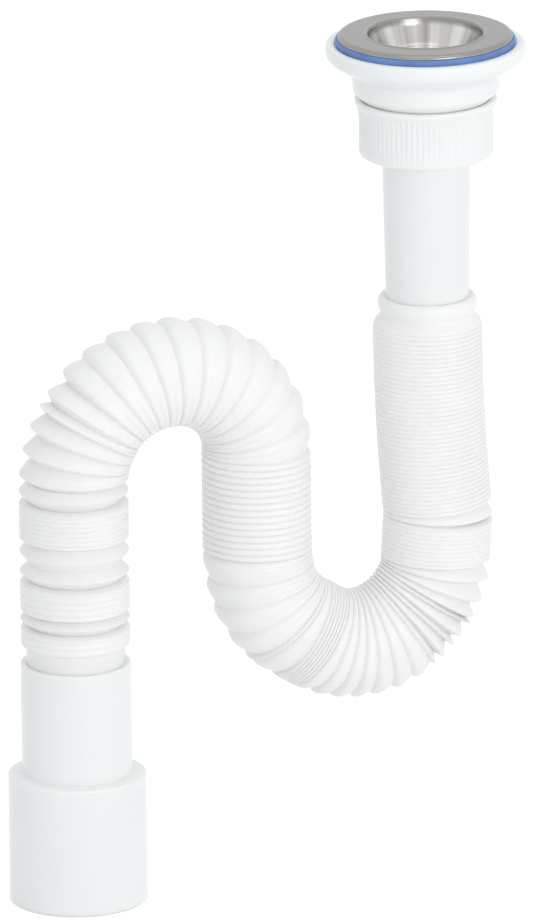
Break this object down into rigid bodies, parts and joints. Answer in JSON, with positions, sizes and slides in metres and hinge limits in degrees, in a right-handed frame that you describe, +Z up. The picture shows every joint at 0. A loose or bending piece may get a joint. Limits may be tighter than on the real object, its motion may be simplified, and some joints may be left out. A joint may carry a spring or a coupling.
{
  "type": "flexible waste trap",
  "caption": "Flexible sink waste trap: steel strainer cup in a flanged outlet, union nut, tube, bellows hose bent into an S and a stepped outlet sleeve.",
  "frame": {"origin": "on the outlet's axis, level with the sink seat (top of the seat gasket)", "axes": "+Z up out of the strainer cup, the hose is bent in the XZ plane and its outlet end is towards -X"},
  "size_m": [0.1951, 0.0722, 0.3123],
  "materials": {
    "steel": "satin",
    "brass": "plain",
    "blue_rubber": "matt",
    "grey_rubber": "matt",
    "white_plastic": "satin",
    "white_bellows": "satin"
  },
  "bodies": {
    "sink_outlet": {"strainer_cup": "steel", "cup_screw": "steel", "seat_gasket": "blue_rubber", "outlet_body": "white_plastic", "insert_nut": "brass"},
    "seal_carriage": {"cone_seal": "grey_rubber"},
    "nut": {"union_nut": "white_plastic"},
    "trap": {"connecting_tube": "white_plastic", "hose": "white_bellows"},
    "outlet_end": {"outlet_spigot": "white_plastic"}
  },
  "joints": [
    {"name": "union_drop", "type": "slide", "parent": "sink_outlet", "child": "seal_carriage", "axis": [0, 0, -1], "range_m": [0, 0.00693]},
    {"name": "nut_turn", "type": "hinge", "parent": "seal_carriage", "child": "nut", "pos_m": [0, 0, -0.035], "axis": [0, 0, -1], "range_deg": [0, 1080]},
    {"name": "trap_swivel", "type": "hinge", "parent": "nut", "child": "trap", "pos_m": [0, 0, -0.042], "axis": [0, 0, 1], "continuous": true},
    {"name": "outlet_stretch", "type": "slide", "parent": "trap", "child": "outlet_end", "axis": [0, 0, -1], "range_m": [-0.02, 0.1], "deforming": ["hose"]}
  ],
  "couplings": [
    {"joint": "union_drop", "follows": "nut_turn", "m_per_rad": 0.0003675}
  ]
}
